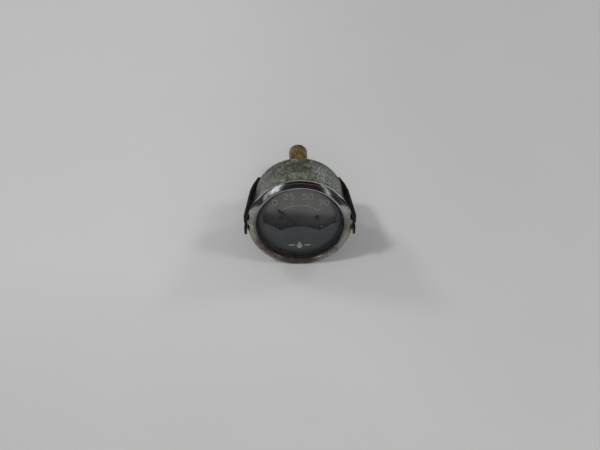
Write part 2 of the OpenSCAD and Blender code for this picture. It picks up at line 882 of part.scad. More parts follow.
// Three pillars between the plates, two of them with posts for the dial
module movement_pillars() {
    color([0.7, 0.56, 0.28])
        for (i = [0 : 2])
            difference() {
                union() {
                    bar(pillar_r, front_plate_back, rear_plate_face, pillar_places[i]);
                    if (i < 2)
                        bar(pillar_r, dial_back, front_plate_face, pillar_places[i]);
                    if (i == 2)
                        bar(rivet_r, front_plate_face, front_plate_back, pillar_places[i]);
                }
                if (i < 2)
                    bar(screw_r + press, dial_back - 1, front_plate_back + 1.3, pillar_places[i]);
                bar(screw_r + press, rear_plate_face - 2.4, rear_plate_face + 1, pillar_places[i]);
            }
}

// Screws through the rear plate into the pillars
module pillar_screws() {
    color([0.55, 0.54, 0.5])
        for (p = pillar_places)
            slotted_screw(p, rear_plate_back, plate_t + 2.3, -1);
}

// Screws through the rear plate into the block
module block_screws() {
    color([0.55, 0.54, 0.5])
        for (p = block_screw_places)
            slotted_screw(p, rear_plate_face, plate_t + 4, 1);
}

// Spiral strip that takes up the play of the gears
module hairspring() {
    steps = 24 * hairspring_turns;
    turn = 360 * hairspring_turns;
    start = hairspring_end - turn;
    growth = hairspring_outer_r - hairspring_inner_r;
    spiral = [for (i = [0 : steps]) [hairspring_inner_r + growth * i / steps, start + turn * i / steps]];
    half = hairspring_t / 2;
    color([0.45, 0.5, 0.6])
        flat(hairspring_face, hairspring_face + hairspring_w)
            translate(pivot)
                polygon(concat(
                    [for (p = spiral) (p[0] + half) * [cos(p[1]), sin(p[1])]],
                    [for (i = [steps : -1 : 0]) (spiral[i][0] - half) * [cos(spiral[i][1]), sin(spiral[i][1])]]));
}

// Collet that holds the hairspring's inner end on the arbor
module hairspring_collet() {
    color([0.72, 0.6, 0.3])
        difference() {
            bar(hairspring_inner_r - 0.15, hairspring_face - 0.2, hairspring_face + hairspring_w + 0.2, pivot);
            bar(arbor_d / 2 + press, hairspring_face - 1, hairspring_face + hairspring_w + 1, pivot);
        }
}

// Stud in the rear plate that holds the hairspring's outer end
module hairspring_stud() {
    color([0.72, 0.6, 0.3])
        bar(stud_r, hairspring_face, rear_plate_back, stud_place);
}

// Galvanised case, drawn from one sheet, with a flange in front and a hole in its back
module case() {
    hole_r = thread_r + slip / 2;
    corner = arc([case_r - case_corner_r, case_depth - case_corner_r], case_corner_r, 0, 90, 6);
    inner_r = max(case_corner_r - case_wall, 0.2);
    inner_corner = arc([case_in_r - inner_r, case_inner_back - inner_r], inner_r, 90, 0, 4);
    color([0.5, 0.52, 0.49])
        turned(concat([[case_in_r, gasket_back], [flange_r, gasket_back], [flange_r, flange_back],
            [case_r, flange_back]], corner, [[hole_r, case_depth], [hole_r, case_inner_back]], inner_corner));
}

// Washer behind the case
module case_washer() {
    color([0.6, 0.6, 0.6])
        ring(case_nut_af / sqrt(3) + 0.8, thread_r + slip / 2, case_depth, case_washer_back);
}

// Nut that holds the stem and its block in the case
module case_nut() {
    color([0.72, 0.58, 0.3])
        hex_nut(case_nut_af, case_washer_back, case_nut_back);
}

// Brass stem: a shank in the block, a collar, the thread and the plain spigot, bored for the oil
module stem() {
    thread_start = case_inner_back;
    turns = floor((thread_end - thread_start - 1) / thread_pitch);
    root_r = thread_r - thread_depth;
    spigot_chamfer = 0.8;
    cone_depth = (cone_mouth_d - oil_bore_d) / 2;
    color([0.72, 0.56, 0.3])
        difference() {
            turned(concat(
                [[0, stem_inner_end], [stem_shank_r, stem_inner_end],
                    [stem_shank_r, thread_start], [root_r, thread_start]],
                [for (i = [0 : turns - 1], step = [[0.06, 0], [0.44, 1], [0.56, 1], [0.94, 0]])
                    [root_r + step[1] * thread_depth, thread_start + 0.5 + (i + step[0]) * thread_pitch]],
                [[root_r, thread_end - 0.4], [spigot_r, thread_end + 0.4], [spigot_r, stem_end - spigot_chamfer],
                    [spigot_r - spigot_chamfer, stem_end], [0, stem_end]]));
            bar(oil_bore_d / 2, stem_end - oil_bore_len, stem_end + 1);
            bar(passage_r, stem_inner_end - 1, stem_end);
            turned([[0, stem_end - cone_depth], [oil_bore_d / 2, stem_end - cone_depth],
                [cone_mouth_d / 2, stem_end], [cone_mouth_d / 2, stem_end + 1], [0, stem_end + 1]]);
        }
}

// Points moved inwards from an outline by the strip's thickness
function inset_point(points, i, t) =
    let (n = len(points) - 1)
        let (a = points[max(i - 1, 0)], b = points[i], c = points[min(i + 1, n)])
            let (u = i == 0 ? [1, 0] : (b - a) / norm(b - a), v = i == n ? u : (c - b) / norm(c - b))
                let (nu = [u[1], -u[0]], nv = [v[1], -v[0]], m = (nu + nv) / norm(nu + nv))
                    b + t / (m * nu) * m;

// Spring-steel clamp with two notched legs that press on the back of the panel
module clamp_strap() {
    leg_x = bezel_r + leg_gap + strap_t;
    bends = [[7.2, 1], [4.3, 0.79], [2.8, 0.62], [1.6, 0.34], [0.5, 0.075]];
    outer = concat([for (b = bends) [leg_x - b[0], b[1] * bridge_back]],
        [[leg_x, 2.4 - leg_reach], [leg_x - 0.3, -leg_reach]]);
    last = len(outer) - 1;
    inner = [for (i = [0 : last]) inset_point(outer, i, strap_t)];
    right = concat(outer, [for (i = [last : -1 : 0]) inner[i]]);
    left = [for (i = [len(right) - 1 : -1 : 0]) [-right[i][0], right[i][1]]];
    notch_end = notch_depth - leg_reach - notch_w / 2;
    eye_r = bridge_w / 2;
    waist = [0.3 * eye_r, 0.954 * eye_r];
    taper_x = leg_x - 8;
    outside = 2 * leg_x;
    half_w = leg_w / 2;
    color([0.12, 0.1, 0.09])
        difference() {
            intersection() {
                translate([0, 0, -eye_r])
                    linear_extrude(2 * eye_r)
                        polygon(concat(right, left));
                flat(-leg_reach - 1, bridge_back + 1) {
                    circle(eye_r, $fn = fine);
                    polygon([[-taper_x, -half_w], [-waist[0], -waist[1]], [waist[0], -waist[1]],
                        [taper_x, -half_w], [outside, -half_w], [outside, half_w], [taper_x, half_w],
                        waist, [-waist[0], waist[1]], [-taper_x, half_w], [-outside, half_w], [-outside, -half_w]]);
                }
            }
            bar(thread_r + slip, bridge_front - 2, bridge_back + 2);
            translate([-outside, -leg_reach - 1, -notch_w / 2])
                cube([2 * outside, notch_end + leg_reach + 1, notch_w]);
            translate([-outside, notch_end, 0])
                rotate([0, 90, 0])
                    cylinder(r = notch_w / 2, h = 2 * outside, $fn = 32);
        }
}

// Split spring washer under the clamp nut
module spring_washer() {
    color([0.4, 0.4, 0.4])
        difference() {
            ring(clamp_nut_af / 2 - 0.3, thread_r + slip, bridge_back, spring_washer_back);
            rotate([0, 12, 0])
                translate([0, bridge_back - 1, -0.6])
                    cube([20, spring_washer_t + 2, 1.2]);
        }
}

// Nut that draws the clamp towards the panel
module clamp_nut() {
    color([0.66, 0.66, 0.64])
        hex_nut(clamp_nut_af, spring_washer_back, clamp_nut_back);
}

bezel();
glass();
glass_gasket();
shade_ring();
dial_mask();
mask_symbol();
dial_spacer();
dial_plate();
dial_scale();
dial_figures();
dial_screws();
stop_pegs();
pointer();
pointer_arbor();
drive_pinion();
hairspring();
hairspring_collet();
hairspring_stud();
front_plate();
rear_plate();
movement_pillars();
pillar_screws();
block_screws();
sector_gear();
sector_arbor();
sector_pin();
link();
tip_block();
tip_pin();
bourdon_tube();
socket_block();
block_gasket();
case();
case_washer();
case_nut();
stem();
clamp_strap();
spring_washer();
clamp_nut();
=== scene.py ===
"""The looks of an oil pressure gauge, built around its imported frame."""

import math

import bmesh
import bpy
from mathutils import Matrix, Vector


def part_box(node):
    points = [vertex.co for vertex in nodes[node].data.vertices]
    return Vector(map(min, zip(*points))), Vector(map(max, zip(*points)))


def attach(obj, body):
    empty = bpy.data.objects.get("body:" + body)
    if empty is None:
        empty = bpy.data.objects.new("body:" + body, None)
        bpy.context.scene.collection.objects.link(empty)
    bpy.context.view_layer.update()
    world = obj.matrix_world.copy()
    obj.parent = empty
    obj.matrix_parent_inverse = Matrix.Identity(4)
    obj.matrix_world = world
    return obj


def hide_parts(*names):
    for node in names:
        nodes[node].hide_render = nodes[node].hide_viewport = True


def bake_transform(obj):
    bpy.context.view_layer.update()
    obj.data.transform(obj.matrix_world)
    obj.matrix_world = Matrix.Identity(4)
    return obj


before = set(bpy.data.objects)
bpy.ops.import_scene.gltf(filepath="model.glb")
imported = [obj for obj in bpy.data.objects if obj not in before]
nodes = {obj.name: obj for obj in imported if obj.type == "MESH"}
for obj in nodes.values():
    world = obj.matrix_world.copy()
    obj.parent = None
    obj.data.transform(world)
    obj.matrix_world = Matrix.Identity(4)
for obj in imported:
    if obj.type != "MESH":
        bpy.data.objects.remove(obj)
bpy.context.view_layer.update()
MM = 0.001


def placed(name, data):
    """A new object of the scene, made of a mesh, a light or a camera."""
    made = bpy.data.objects.new(name, data)
    bpy.context.scene.collection.objects.link(made)
    return made


# Camera: its turns in degrees and its place in mm were fitted to the photo's outlines

turned_about_gauge = -1.7
raised_over_axis = 37.72
tipped_sideways = -1.53
face_middle = Vector((0, -2.4, 0))
face_right = -0.0327
face_up = 0.6048
face_away = 457.209

camera_turn = (
    Matrix.Rotation(math.radians(turned_about_gauge), 3, "Y")
    @ Matrix.Rotation(math.radians(90 - raised_over_axis), 3, "X")
    @ Matrix.Rotation(math.radians(tipped_sideways), 3, "Z")
)
camera_right = camera_turn.col[0]
camera_up = camera_turn.col[1]
camera_back = camera_turn.col[2]
camera_place = face_middle - (camera_right * face_right + camera_up * face_up - camera_back * face_away)
camera_data = bpy.data.cameras.new("camera")
camera_data.lens = 48
camera_data.sensor_width = 36
camera_data.sensor_fit = "HORIZONTAL"
camera_data.clip_start = 0.01
camera_data.clip_end = 50
camera = placed("camera", camera_data)
camera.matrix_world = Matrix.Translation(camera_place * MM) @ camera_turn.to_4x4()
bpy.context.scene.camera = camera

# Sizes in mm, most of them from the frame's boxes


def reach(node):
    """The lowest and highest corners of a CAD node, in mm."""
    low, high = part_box(node)
    return low / MM, high / MM


bezel_low, bezel_high = reach("bezel")
glass_low, glass_high = reach("glass")
case_low, case_high = reach("case")
stem_low, stem_high = reach("stem")
tube_low, tube_high = reach("bourdon_tube")

front = bezel_low.y
rim_back = 1.75
rim_r = bezel_high.x
rim_y = front + rim_back
lip_w = 4.9
lip_r = rim_r - lip_w
bezel_wall = 1.5
cavity_r = rim_r - bezel_wall
case_sheet = 0.8
case_step = 4.0
case_r = rim_r - case_step
case_corner = 1.2
flange_back = case_low.y + case_sheet

# Level of the table: the gauge lies back on its bezel's rim and on its case's rear corner

run = case_high.y - case_corner - rim_y
drop = rim_r - (case_r - case_corner)
lean = math.atan2(drop, run) - math.asin(case_corner / math.hypot(run, drop))
across = (
    math.cos(lean) * camera_right.x,
    -math.cos(lean) * camera_right.z,
    -math.sin(lean) * camera_right.y,
)
roll = math.asin(across[2] / math.hypot(across[0], across[1])) - math.atan2(across[1], across[0])
table_up = Vector((-math.cos(lean) * math.sin(roll), -math.sin(lean), math.cos(lean) * math.cos(roll)))
table_touch = Vector((rim_r * math.sin(roll), rim_y, -rim_r * math.cos(roll))) * MM
table_turn = Vector((0, 0, 1)).rotation_difference(table_up).to_matrix()
table_side = (camera_right - table_up * camera_right.dot(table_up)).normalized()
table_depth = table_up.cross(table_side)

# Middles of the marks that age has left, of a paler patch on the stem and of painted glints, in mm, where
# the photo shows them

band_stain = (4.5, -2.6, 28.2)
band_foot_rust = (-1, -3.2, -27.5)
band_left_rust = (-18, -3.4, -19)
band_right_rust = (19, -3.4, -20)
# Painted glints on the lip's crest
band_left_glint = (-13, -4.3, -21)
band_right_glint = (10.5, -4.3, -22.6)
case_stain = (0, 20, 26)
case_right_bloom = (17.5, 13, 19.3)
case_left_bloom = (-19, 10, 17)
case_scratch = (-9.8, 6.5, 24)
stem_pale_patch = (-5, 68, 4.5)
# Painted glints on the dial screws' heads
left_screw_glint = (-12.8, 2.9, -5.8)
right_screw_glint = (12.8, 2.9, -5.8)

# Radii in mm where the painted shade by the black ring begins and where it is full

mask_shade = (20.2, 24.8)
dial_shade = (18, 23.5)


# Materials


class Finish:
    """A node material, built up around one Principled shader. Its sizes and places are in mm."""

    def __init__(self, name):
        self.material = bpy.data.materials.new(name)
        self.material.use_nodes = True
        self.tree = self.material.node_tree
        self.shader = self.tree.nodes["Principled BSDF"]
        self.place = self.node("ShaderNodeTexCoord").outputs["Object"]

    def node(self, kind, **settings):
        """A new node with its settings."""
        made = self.tree.nodes.new(kind)
        for key, value in settings.items():
            setattr(made, key, value)
        return made

    def feed(self, socket, value):
        """Another node's output linked to a socket, or a plain value set on it."""
        if isinstance(value, bpy.types.NodeSocket):
            self.tree.links.new(value, socket)
        else:
            socket.default_value = value

    def wear(self, **values):
        """Outputs or plain values for the shader's own sockets, each named with _ for a space."""
        for key, value in values.items():
            self.feed(self.shader.inputs[key.replace("_", " ")], value)

    def mapped(self, stretch=(1, 1, 1), shift=(0, 0, 0)):
        """The place on the object, stretched and shifted."""
        mapping = self.node("ShaderNodeMapping")
        self.feed(mapping.inputs["Vector"], self.place)
        mapping.inputs["Scale"].default_value = stretch
        mapping.inputs["Location"].default_value = shift
        return mapping.outputs["Vector"]

    def noise(self, size, detail=4.0, rough=0.55, stretch=(1, 1, 1), shift=(0, 0, 0), twist=0.0):
        """Random clouds of a size."""
        made = self.node("ShaderNodeTexNoise")
        self.feed(made.inputs["Vector"], self.mapped(stretch, shift))
        made.inputs["Scale"].default_value = 1 / (size * MM)
        made.inputs["Detail"].default_value = detail
        made.inputs["Roughness"].default_value = rough
        made.inputs["Distortion"].default_value = twist
        return made.outputs["Fac"]

    def level(self, value, low, high, out_low=0.0, out_high=1.0):
        """A value that runs smoothly from one level to another between two marks."""
        made = self.node("ShaderNodeMapRange", interpolation_type="SMOOTHSTEP")
        self.feed(made.inputs["Value"], value)
        made.inputs["From Min"].default_value = low
        made.inputs["From Max"].default_value = high
        made.inputs["To Min"].default_value = out_low
        made.inputs["To Max"].default_value = out_high
        return made.outputs["Result"]

    def maths(self, operation, a, b, clamp=False):
        """Two values worked into one."""
        made = self.node("ShaderNodeMath", operation=operation, use_clamp=clamp)
        self.feed(made.inputs[0], a)
        self.feed(made.inputs[1], b)
        return made.outputs["Value"]

    def times(self, a, b):
        """The product of two values."""
        return self.maths("MULTIPLY", a, b)

    def plus(self, a, b, clamp=False):
        """The sum of two values."""
        return self.maths("ADD", a, b, clamp)

    def most(self, a, b):
        """The greater of two values."""
        return self.maths("MAXIMUM", a, b)

    def ramp(self, value, *stops):
        """A colour picked by a value from (position, colour) stops."""
        made = self.node("ShaderNodeValToRGB")
        self.feed(made.inputs["Fac"], value)
        marks = made.color_ramp.elements
        while len(marks) < len(stops):
            marks.new(0.5)
        for mark, (position, colour) in zip(marks, stops):
            mark.position = position
            mark.color = (*colour, 1)
        return made.outputs["Color"]

    def mix(self, share, a, b):
        """A colour that goes from one to another with the share."""
        made = self.node("ShaderNodeMix", data_type="RGBA")
        self.feed(made.inputs["Factor"], share)
        for socket, value in ((made.inputs["A"], a), (made.inputs["B"], b)):
            self.feed(socket, (*value, 1) if isinstance(value, tuple) else value)
        return made.outputs["Result"]

    def axis(self, name):
        """The place along one axis, in metres."""
        split = self.node("ShaderNodeSeparateXYZ")
        self.feed(split.inputs[0], self.place)
        return split.outputs[name]

    def along(self, name, start, end, out_start=0.0, out_end=1.0):
        """A level that changes between two places on an axis."""
        return self.level(self.axis(name), start * MM, end * MM, out_start, out_end)

    def ringed(self, start, end, out_start=0.0, out_end=1.0):
        """A level that changes between two distances from the gauge's axis."""
        made = self.node("ShaderNodeVectorMath", operation="LENGTH")
        self.feed(made.inputs[0], self.mapped((1, 0, 1)))
        return self.level(made.outputs["Value"], start * MM, end * MM, out_start, out_end)

    def spot(self, centre, solid, faded):
        """One inside a radius of a point, falling to nothing at another radius."""
        made = self.node("ShaderNodeVectorMath", operation="DISTANCE")
        self.feed(made.inputs[0], self.place)
        made.inputs[1].default_value = Vector(centre) * MM
        return self.level(made.outputs["Value"], solid * MM, faded * MM, 1, 0)

    def relief(self, height, depth, strength=1.0):
        """Fine bumps of a depth."""
        made = self.node("ShaderNodeBump")
        self.feed(made.inputs["Height"], height)
        made.inputs["Distance"].default_value = depth * MM
        made.inputs["Strength"].default_value = strength
        self.feed(self.shader.inputs["Normal"], made.outputs["Normal"])


def rust_on_chrome(f):
    """How far the plate has rusted: at the band's foot, at both sides of it and along the rim's edge."""
    foot = f.times(f.spot(band_foot_rust, 7, 15), f.level(f.noise(3.0, 5, 0.6), 0.2, 0.45))
    foot = f.times(foot, f.ringed(rim_r - 0.3, rim_r - 1.0, 0.4, 1))
    left = f.times(f.spot(band_left_rust, 6, 14), f.level(f.noise(2.6, 5, 0.7), 0.3, 0.5))
    left = f.times(left, f.ringed(rim_r - 1.0, rim_r - 2.4, 0.25, 1))
    right = f.times(f.spot(band_right_rust, 3, 11), f.level(f.noise(1.8, 5, 0.7), 0.44, 0.6))
    edge = f.times(f.along("Y", rim_y + 0.1, rim_y + 0.8), 0.6)
    rust = f.most(f.most(foot, f.times(left, 0.95)), edge)
    return f.most(rust, f.times(right, 0.45))


def plate_on_chrome(f, film, low):
    """Colour of the plate: bright above, dull below, pitted, darker near the glass, stained, with painted
    glints on the lip's crest.
    """
    bright = f.mix(film, (0.6, 0.59, 0.6), (0.48, 0.465, 0.465))
    dull = f.mix(film, (0.44, 0.425, 0.4), (0.27, 0.255, 0.235))
    plate = f.mix(low, bright, dull)
    pits = f.level(f.noise(0.5, 2, 0.6), 0.58, 0.7)
    spoiled = f.level(f.noise(2.0, 5, 0.75, stretch=(1, 0.6, 1)), 0.46, 0.62)
    flecks = f.plus(f.times(pits, 0.5), f.times(spoiled, 0.6), clamp=True)
    plate = f.mix(f.times(flecks, f.level(low, 0, 1, 0.04, 1)), plate, (0.11, 0.095, 0.08))
    # Darker near the glass, more so lower down.
    darkened = f.ringed(lip_r + 2.4, lip_r + 0.5)
    plate = f.mix(f.times(darkened, f.level(low, 0, 1, 0.1, 0.8)), plate, (0.13, 0.12, 0.105))
    stain = f.times(f.spot(band_stain, 2.5, 8), f.level(f.noise(2.4, 4, 0.6), 0.25, 0.5))
    plate = f.mix(f.times(stain, 0.75), plate, (0.66, 0.46, 0.4))
    # Painted glints: bright spots on the lip's crest.
    crest = f.times(f.ringed(lip_r + 0.1, lip_r + 0.3), f.ringed(lip_r + 1.1, lip_r + 0.7))
    glint = f.plus(f.spot(band_left_glint, 1.5, 5), f.spot(band_right_glint, 1.5, 5), clamp=True)
    return f.mix(f.times(crest, glint), plate, (0.7, 0.61, 0.54))


def polished_chrome():
    """Old chrome plate with rust at places."""
    f = Finish("polished_chrome")
    film = f.level(f.noise(9, 5, 0.6), 0.38, 0.62)
    low = f.along("Z", 20, -2)
    plate = plate_on_chrome(f, film, low)
    rust = rust_on_chrome(f)
    brown = f.ramp(
        f.noise(1.1, 4, 0.6, stretch=(1, 1, 0.2), shift=(0.2, 0, 0)),
        (0.36, (0.009, 0.009, 0.007)),
        (0.46, (0.036, 0.012, 0.011)),
        (0.54, (0.024, 0.02, 0.016)),
        (0.66, (0.11, 0.072, 0.06)),
    )
    rough = f.plus(f.level(film, 0, 1, 0.08, 0.14), f.times(low, 0.14))
    f.wear(
        Base_Color=f.mix(f.times(rust, 0.92), plate, brown),
        Metallic=f.level(rust, 0.55, 0.95, 1, 0.4),
        Roughness=f.plus(rough, f.times(rust, f.level(low, 0, 1, 0.03, 0.25))),
    )
    f.relief(f.plus(f.noise(5, 3), f.times(rust, f.noise(0.6, 4))), 0.016)
    return f.material


def mottled_zinc():
    """Galvanised sheet gone dull: grey-green mottling, brown stains, white bloom."""
    f = Finish("mottled_zinc")
    cloud = f.noise(6, 5, 0.65, twist=0.4)
    speck = f.noise(0.8, 4, 0.75)
    drawn = f.noise(1.6, 5, 0.65, stretch=(1.6, 0.5, 1.6), shift=(0.2, 0, 0.1))
    tone = f.plus(f.times(cloud, 0.26), f.plus(f.times(speck, 0.44), f.times(drawn, 0.3)))
    skin = f.ramp(
        tone,
        (0.42, (0.048, 0.048, 0.035)),
        (0.47, (0.085, 0.086, 0.067)),
        (0.53, (0.147, 0.156, 0.131)),
        (0.59, (0.27, 0.288, 0.256)),
    )
    stain = f.times(f.level(f.noise(4, 5, 0.6, shift=(0.5, 0, 0)), 0.4, 0.6), f.spot(case_stain, 5, 15))
    skin = f.mix(f.times(stain, 0.85), skin, (0.05, 0.042, 0.03))
    bloom = f.level(f.noise(1.2, 6, 0.75, stretch=(1, 0.6, 1), shift=(0.9, 0, 0)), 0.45, 0.62)
    right = f.times(f.spot(case_right_bloom, 8, 15), bloom)
    left = f.times(f.spot(case_left_bloom, 3, 11), f.times(bloom, 0.6))
    scratch = f.times(f.spot(case_scratch, 0.7, 2.6), f.level(f.noise(0.7, 3), 0.42, 0.6))
    white = f.plus(f.plus(right, scratch), left, clamp=True)
    skin = f.mix(f.times(white, 0.85), skin, (0.4, 0.45, 0.43))
    f.wear(Base_Color=skin, Metallic=0.25, Roughness=f.level(speck, 0.3, 0.7, 0.42, 0.62))
    f.relief(tone, 0.1, 0.7)
    return f.material


def tarnished_brass():
    """Brass gone brown, with dark blotches and a paler golden patch on the stem's upper left."""
    f = Finish("tarnished_brass")
    blotch = f.noise(2.6, 5, 0.65, twist=0.4, stretch=(1, 0.6, 1))
    grain = f.noise(0.9, 4, 0.65, shift=(0.4, 0, 0))
    tone = f.plus(f.times(blotch, 0.6), f.times(grain, 0.4))
    skin = f.ramp(
        tone,
        (0.38, (0.05, 0.027, 0.013)),
        (0.46, (0.14, 0.088, 0.037)),
        (0.54, (0.275, 0.21, 0.09)),
        (0.64, (0.42, 0.37, 0.19)),
    )
    golden = f.times(f.spot(stem_pale_patch, 2, 7), f.level(grain, 0.35, 0.6))
    skin = f.mix(f.times(golden, 0.55), skin, (0.46, 0.4, 0.2))
    f.wear(Base_Color=skin, Metallic=0.6, Roughness=f.level(grain, 0.3, 0.7, 0.34, 0.55))
    f.relief(tone, 0.1, 0.6)
    return f.material


def cut_brass(name, colour, lines):
    """Machined brass with fine tool lines, a little dulled."""
    f = Finish(name)
    haze = f.noise(4, 4)
    line = f.noise(0.35, 3, 0.6, stretch=lines)
    dark = tuple(c * 0.62 for c in colour)
    f.wear(
        Base_Color=f.mix(f.level(haze, 0.35, 0.7), colour, dark),
        Metallic=1.0,
        Roughness=f.level(line, 0.3, 0.7, 0.24, 0.42),
    )
    f.relief(line, 0.015, 0.6)
    return f.material


def brushed_line(f):
    """Fine brushing of a steel."""
    return f.noise(0.3, 3, 0.6, stretch=(1, 0.2, 1))


def plain_steel(name, colour, low=0.25, high=0.45):
    """Bare or plated steel with fine brushing and a few dull spots."""
    f = Finish(name)
    haze = f.noise(3, 5, 0.6)
    line = brushed_line(f)
    spots = f.level(f.noise(0.9, 3), 0.62, 0.72)
    skin = f.mix(f.level(haze, 0.35, 0.7), colour, tuple(c * 0.7 for c in colour))
    skin = f.mix(f.times(spots, 0.5), skin, tuple(c * 0.35 for c in colour))
    f.wear(Base_Color=skin, Metallic=1.0, Roughness=f.level(line, 0.3, 0.7, low, high))
    f.relief(line, 0.012, 0.6)
    return f.material


def spotted_steel():
    """Dulled plating of the clamp nut, dirty in patches and rusted through at places."""
    f = Finish("spotted_steel")
    haze = f.noise(4, 5, 0.65)
    line = brushed_line(f)
    darkened = f.level(f.noise(2.2, 5, 0.7, shift=(0.3, 0, 0)), 0.44, 0.62)
    rust = f.level(f.noise(1.3, 5, 0.7, shift=(0, 0, 0.6)), 0.56, 0.64)
    skin = f.mix(f.level(haze, 0.35, 0.65), (0.42, 0.41, 0.38), (0.3, 0.29, 0.265))
    skin = f.mix(f.times(darkened, 0.6), skin, (0.15, 0.135, 0.11))
    f.wear(
        Base_Color=f.mix(f.times(rust, 0.8), skin, (0.085, 0.04, 0.02)),
        Metallic=f.level(rust, 0.3, 0.8, 1, 0.3),
        Roughness=f.plus(f.level(line, 0.3, 0.7, 0.32, 0.48), f.times(rust, 0.2)),
    )
    f.relief(f.plus(line, rust), 0.02, 0.6)
    return f.material


def screw_steel_painted_glint():
    """Blackened steel of the dial screws, with a painted glint on each head."""
    f = Finish("screw_steel_painted_glint")
    haze = f.noise(3, 5, 0.6)
    line = brushed_line(f)
    # Painted glints: a bright spot on each screw head, fainter on the left one.
    left = f.spot(left_screw_glint, 0.25, 0.7)
    right = f.spot(right_screw_glint, 0.25, 0.7)
    glint = f.plus(f.times(left, 0.4), right, clamp=True)
    skin = f.mix(f.level(haze, 0.35, 0.7), (0.14, 0.14, 0.145), (0.09, 0.09, 0.095))
    f.wear(
        Base_Color=f.mix(glint, skin, (0.85, 0.83, 0.76)),
        Metallic=f.maths("SUBTRACT", 1.0, f.times(glint, 0.7)),
        Roughness=f.level(line, 0.3, 0.7, 0.3, 0.45),
    )
    f.relief(line, 0.012, 0.6)
    return f.material


def rusted_black_steel():
    """Blackened spring steel, rubbed at places, streaked along its length and speckled with rust."""
    f = Finish("rusted_black_steel")
    patch = f.noise(4.5, 6, 0.65)
    speck = f.noise(0.7, 4, 0.7)
    streak = f.noise(1.2, 5, 0.65, stretch=(1, 0.25, 1), shift=(0.1, 0, 0))
    skin = f.ramp(streak, (0.35, (0.006, 0.006, 0.0055)), (0.65, (0.016, 0.0145, 0.0125)))
    rubbed = f.times(f.level(streak, 0.55, 0.68), f.level(patch, 0.45, 0.6))
    skin = f.mix(f.times(rubbed, 0.5), skin, (0.05, 0.047, 0.043))
    rust = f.times(f.level(patch, 0.5, 0.66), f.level(speck, 0.44, 0.6))
    skin = f.mix(f.times(rust, 0.5), skin, (0.06, 0.028, 0.015))
    f.wear(Base_Color=skin, Roughness=f.level(speck, 0.3, 0.7, 0.36, 0.66), Specular_IOR_Level=0.22)
    f.relief(f.plus(speck, rust), 0.06, 0.8)
    return f.material


def flat_paint(name, light, dark, low, high, shine=0.3, rim=0.0):
    """Sprayed paint with a slight orange peel, faint clouding, specks of dust and, if asked, painted shade
    darkening it towards the black ring at its rim.
    """
    f = Finish(name)
    cloud = f.noise(8, 4, 0.6)
    peel = f.noise(0.4, 3, 0.6)
    dust = f.level(f.noise(0.25, 2), 0.72, 0.78)
    skin = f.mix(f.level(cloud, 0.35, 0.65), light, dark)
    skin = f.mix(f.times(dust, 0.12), skin, (0.35, 0.35, 0.33))
    if rim:
        # Painted shade by the black ring, darkening the paint towards its rim.
        skin = f.mix(f.ringed(*mask_shade, 0, rim), skin, (0.008, 0.008, 0.01))
    f.wear(Base_Color=skin, Roughness=f.level(peel, 0.3, 0.7, low, high), Specular_IOR_Level=shine)
    f.relief(peel, 0.02, 0.5)
    return f.material


def shaded_dial_paint():
    """Charcoal dial paint with painted light and shade: lighter grey in its upper part, dark above the mask
    and darker to the left there, and painted shade near the rim.
    """
    f = Finish("shaded_dial_paint")
    cloud = f.noise(8, 4, 0.6)
    peel = f.noise(0.4, 3, 0.6)
    # Painted light and shade: grey in the upper part, fading to dark lower down, where the dark is deeper to
    # the left.
    slant = f.along("X", -2, 10, 0, 2 * MM)
    painted_light = f.level(f.plus(f.axis("Z"), slant), -0.2 * MM, 7.6 * MM)
    shaded = f.mix(f.along("X", -14, 12), (0.03, 0.029, 0.036), (0.052, 0.05, 0.058))
    skin = f.mix(painted_light, shaded, (0.178, 0.178, 0.169))
    skin = f.mix(f.level(cloud, 0.35, 0.65, 0, 0.2), skin, (0.07, 0.07, 0.07))
    # Painted shade by the black ring near the rim.
    skin = f.mix(f.ringed(*dial_shade, 0, 0.75), skin, (0.01, 0.01, 0.012))
    f.wear(Base_Color=skin, Roughness=f.level(peel, 0.3, 0.7, 0.5, 0.65), Specular_IOR_Level=0.25)
    f.relief(peel, 0.02, 0.5)
    return f.material


def faded_print(name, colour, share):
    """Thin print worn unevenly, with the paint below showing through it."""
    f = Finish(name)
    worn = f.level(f.noise(1.3, 5, 0.7), 0.3, 0.75, 0, share)
    f.wear(Base_Color=f.mix(worn, colour, (0.07, 0.07, 0.07)), Roughness=0.6)
    f.relief(f.noise(0.3, 3), 0.01, 0.5)
    return f.material


def faded_red():
    """Dark red paint on the pointer, with painted shade darkening it towards its hub."""
    f = Finish("faded_red")
    cloud = f.noise(3, 5, 0.6)
    skin = f.ramp(cloud, (0.35, (0.012, 0.003, 0.007)), (0.65, (0.03, 0.008, 0.014)))
    # Painted shade darkening the pointer towards its hub.
    skin = f.mix(f.along("Z", 5, -1.5, 0, 0.8), skin, (0.006, 0.005, 0.008))
    f.wear(Base_Color=skin, Roughness=f.level(f.noise(0.5, 3), 0.3, 0.7, 0.4, 0.6))
    f.relief(f.noise(0.5, 3), 0.01, 0.5)
    return f.material


def soft_rubber():
    """Black rubber, faintly grey with age."""
    f = Finish("soft_rubber")
    bloom = f.noise(1.5, 5, 0.65)
    f.wear(
        Base_Color=f.ramp(bloom, (0.35, (0.022, 0.022, 0.022)), (0.7, (0.055, 0.054, 0.052))),
        Roughness=f.level(bloom, 0.3, 0.7, 0.6, 0.85),
    )
    f.relief(f.noise(0.35, 3), 0.03, 0.7)
    return f.material


def red_fibre():
    """Vulcanised fibre, mottled red-brown."""
    f = Finish("red_fibre")
    strand = f.noise(0.7, 5, 0.7, stretch=(1, 2.5, 1))
    f.wear(
        Base_Color=f.ramp(strand, (0.3, (0.16, 0.045, 0.025)), (0.7, (0.34, 0.12, 0.07))),
        Roughness=f.level(strand, 0.3, 0.7, 0.55, 0.8),
    )
    f.relief(strand, 0.04, 0.7)
    return f.material


